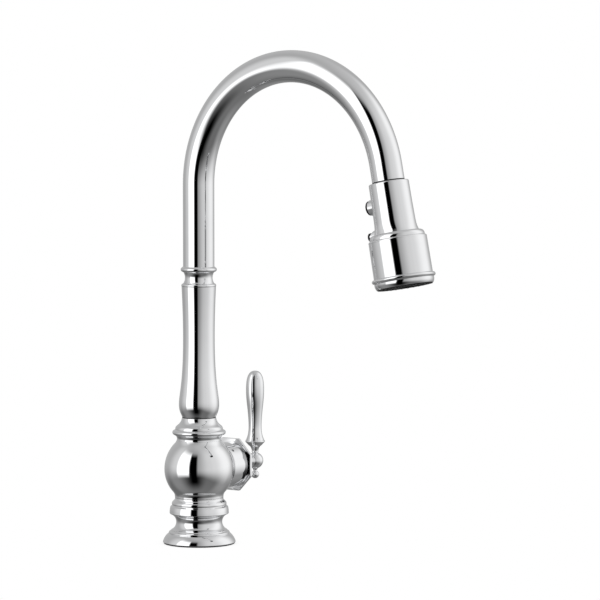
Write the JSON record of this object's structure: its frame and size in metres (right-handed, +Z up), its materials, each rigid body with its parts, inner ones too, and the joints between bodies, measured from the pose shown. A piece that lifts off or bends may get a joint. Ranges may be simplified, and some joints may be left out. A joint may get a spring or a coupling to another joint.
{
  "type": "pull-down kitchen faucet",
  "caption": "Gooseneck kitchen faucet with a turned column, side lever valve, swivelling spout and a docked pull-down spray wand on a hose.",
  "frame": {"origin": "centre of the deck face, the underside of the gasket under the base flange", "axes": "+Z up along the column, the spout reaches towards -Y and the lever handle stands out towards +X"},
  "size_m": [0.1239, 0.291, 0.508],
  "materials": {
    "chrome": "polished",
    "brass": "machined",
    "steel": "brushed",
    "black_rubber": "matte",
    "black_plastic": "satin",
    "white_plastic": "satin",
    "ceramic": "polished ceramic",
    "braided_hose": "woven nylon braid"
  },
  "bodies": {
    "deck_base": {"deck_gasket": "black_rubber", "base_flange": "chrome", "pedestal": "chrome", "mounting_shank": "brass", "valve_body": "chrome", "swivel_neck": "chrome", "swivel_post": "brass", "swivel_bearings": "white_plastic", "swivel_o_rings": "black_rubber", "post_clip": "steel", "thrust_washer": "black_plastic", "cartridge_base_seal": "black_rubber", "cartridge_housing": "white_plastic", "fixed_disc": "ceramic", "cartridge_nut": "brass", "seam_ring": "chrome", "valve_drum": "chrome", "drum_screw": "steel", "bonnet_plate": "chrome"},
    "deck_nut": {"rubber_washer": "black_rubber", "steel_washer": "steel", "mounting_nut": "brass", "jack_screws": "steel"},
    "spout": {"column": "chrome", "column_collar": "chrome", "spout_tube": "chrome", "dock_socket": "black_plastic", "dock_magnet": "steel", "spray_hose": "braided_hose"},
    "hose_end": {"hose_ferrule": "steel", "swivel_tail": "brass", "hose_o_ring": "black_rubber"},
    "wand": {"coupling_nut": "brass", "wand_magnet_ring": "steel", "waterway": "white_plastic", "check_valve": "white_plastic", "wand_upper_shell": "chrome", "shoulder_ring": "chrome", "wand_lower_shell": "chrome", "rim_ring": "chrome", "spray_face": "black_plastic", "spray_nozzles": "black_rubber", "aerator": "steel", "upper_bezel": "chrome", "lower_bezel": "chrome", "upper_button_spring": "steel", "lower_button_spring": "steel"},
    "upper_push": {"upper_button": "black_plastic"},
    "lower_push": {"lower_button": "black_plastic"},
    "rotor": {"cartridge_rotor": "white_plastic", "stem_pin": "steel"},
    "lever": {"stem": "steel", "hub_dome": "chrome", "handle_set_screw": "steel", "hub_neck": "chrome", "lever_ball": "chrome", "lever_finial": "chrome", "lever_grip": "chrome"},
    "valve_disc": {"moving_disc": "ceramic"}
  },
  "joints": [
    {"name": "nut_travel", "type": "slide", "parent": "deck_base", "child": "deck_nut", "axis": [0, 0, -1], "range_m": [0, 0.1]},
    {"name": "spout_swivel", "type": "hinge", "parent": "deck_base", "child": "spout", "pos_m": [0, 0, 0.115], "axis": [0, 0, 1], "continuous": true},
    {"name": "wand_pull", "type": "slide", "parent": "spout", "child": "hose_end", "axis": [0, -0.1959, -0.9806], "range_m": [0, 0.2]},
    {"name": "wand_spin", "type": "hinge", "parent": "hose_end", "child": "wand", "pos_m": [0, -0.21388, 0.33341], "axis": [0, -0.1959, -0.9806], "continuous": true},
    {"name": "upper_press", "type": "slide", "parent": "wand", "child": "upper_push", "axis": [0, -0.9806, 0.1959], "range_m": [0, 0.0015], "stiffness_N_per_m": 1200, "springref_m": -0.0015, "deforming": ["upper_button_spring"]},
    {"name": "lower_press", "type": "slide", "parent": "wand", "child": "lower_push", "axis": [0, -0.9806, 0.1959], "range_m": [0, 0.0014], "stiffness_N_per_m": 1200, "springref_m": -0.0015, "deforming": ["lower_button_spring"]},
    {"name": "temperature", "type": "hinge", "parent": "deck_base", "child": "rotor", "pos_m": [0.043, 0, 0.0683], "axis": [1, 0, 0], "range_deg": [-45, 45]},
    {"name": "flow", "type": "hinge", "parent": "rotor", "child": "lever", "pos_m": [0.043, 0, 0.0683], "axis": [0, 1, 0], "range_deg": [0, 25]},
    {"name": "disc_slide", "type": "slide", "parent": "rotor", "child": "valve_disc", "axis": [0, 0, 1], "range_m": [0, 0.006]}
  ],
  "couplings": [
    {"joint": "disc_slide", "follows": "flow", "m_per_rad": 0.0136}
  ]
}
